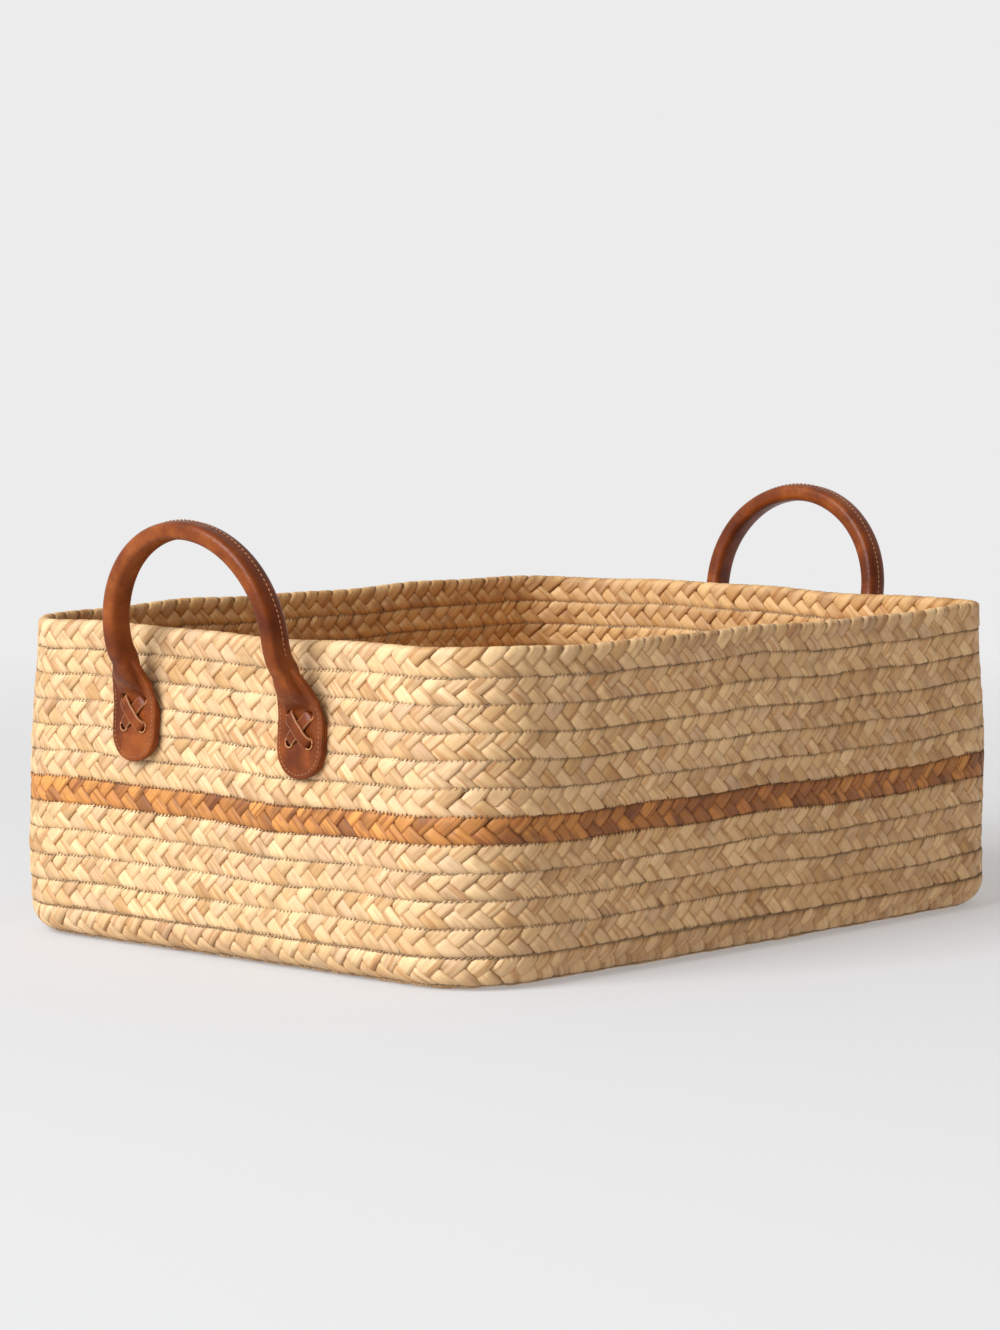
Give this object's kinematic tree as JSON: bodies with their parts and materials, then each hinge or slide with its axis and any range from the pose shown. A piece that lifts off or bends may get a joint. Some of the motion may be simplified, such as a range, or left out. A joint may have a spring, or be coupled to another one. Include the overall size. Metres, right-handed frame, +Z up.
{
  "type": "plaited storage basket",
  "caption": "Low rectangular storage basket of sewn flat plaited plant fibre with one dyed stripe and two rolled leather handles on laced tabs.",
  "frame": {"origin": "middle of the footprint at floor level", "axes": "+X along the long side towards the right handle, +Y to the rear long wall, +Z up"},
  "size_m": [0.4902, 0.3458, 0.2183],
  "materials": {
    "natural_fibre": "matt plaited water-hyacinth or rush leaf, straw coloured, with scattered darker leaves",
    "dyed_fibre": "the same plait dyed orange-brown",
    "sewing_thread": "matt machine thread, greyish beige",
    "leather": "semi-matt tan leather with fine grain, darker at folds",
    "leather_thread": "waxed saddle-stitch thread",
    "core_cord": "twisted plant-fibre cord, hidden in the leather roll"
  },
  "bodies": {
    "basket": {"wall_row_01": "natural_fibre", "wall_row_02": "natural_fibre", "wall_row_03": "natural_fibre", "wall_row_04": "natural_fibre", "wall_row_05": "natural_fibre", "wall_row_06": "natural_fibre", "wall_row_07": "dyed_fibre", "wall_row_08": "natural_fibre", "wall_row_09": "natural_fibre", "wall_row_10": "natural_fibre", "wall_row_11": "natural_fibre", "wall_row_12": "natural_fibre", "base_row_01": "natural_fibre", "base_row_02": "natural_fibre", "base_row_03": "natural_fibre", "base_row_04": "natural_fibre", "base_row_05": "natural_fibre", "base_row_06": "natural_fibre", "base_row_07": "natural_fibre", "base_row_08": "natural_fibre", "base_row_09": "natural_fibre", "base_row_10": "natural_fibre", "base_row_11": "natural_fibre", "base_row_12": "natural_fibre", "seam_thread_01": "sewing_thread", "seam_thread_02": "sewing_thread", "seam_thread_03": "sewing_thread", "seam_thread_04": "sewing_thread", "seam_thread_05": "sewing_thread", "seam_thread_06": "sewing_thread", "seam_thread_07": "sewing_thread", "seam_thread_08": "sewing_thread", "seam_thread_09": "sewing_thread", "seam_thread_10": "sewing_thread", "seam_thread_11": "sewing_thread", "left_handle_front_tab_backing": "leather", "left_handle_front_tab_face": "leather", "left_handle_front_lace_under": "leather", "left_handle_front_lace_over": "leather", "left_handle_rear_tab_backing": "leather", "left_handle_rear_tab_face": "leather", "left_handle_rear_lace_under": "leather", "left_handle_rear_lace_over": "leather", "right_handle_front_tab_backing": "leather", "right_handle_front_tab_face": "leather", "right_handle_front_lace_under": "leather", "right_handle_front_lace_over": "leather", "right_handle_rear_tab_backing": "leather", "right_handle_rear_tab_face": "leather", "right_handle_rear_lace_under": "leather", "right_handle_rear_lace_over": "leather"},
    "left_handle": {"left_handle_sleeve": "leather", "left_handle_core_cord": "core_cord", "left_handle_seam_thread": "leather_thread"},
    "right_handle": {"right_handle_sleeve": "leather", "right_handle_core_cord": "core_cord", "right_handle_seam_thread": "leather_thread"}
  },
  "joints": [
    {"name": "left_handle_flex", "type": "hinge", "parent": "basket", "child": "left_handle", "pos_m": [-0.21522, 0, 0.1325], "axis": [0, -1, 0], "range_deg": [-20, 60], "stiffness_Nm_per_rad": 0.3},
    {"name": "right_handle_flex", "type": "hinge", "parent": "basket", "child": "right_handle", "pos_m": [0.21522, 0, 0.1325], "axis": [0, 1, 0], "range_deg": [-20, 60], "stiffness_Nm_per_rad": 0.3}
  ]
}
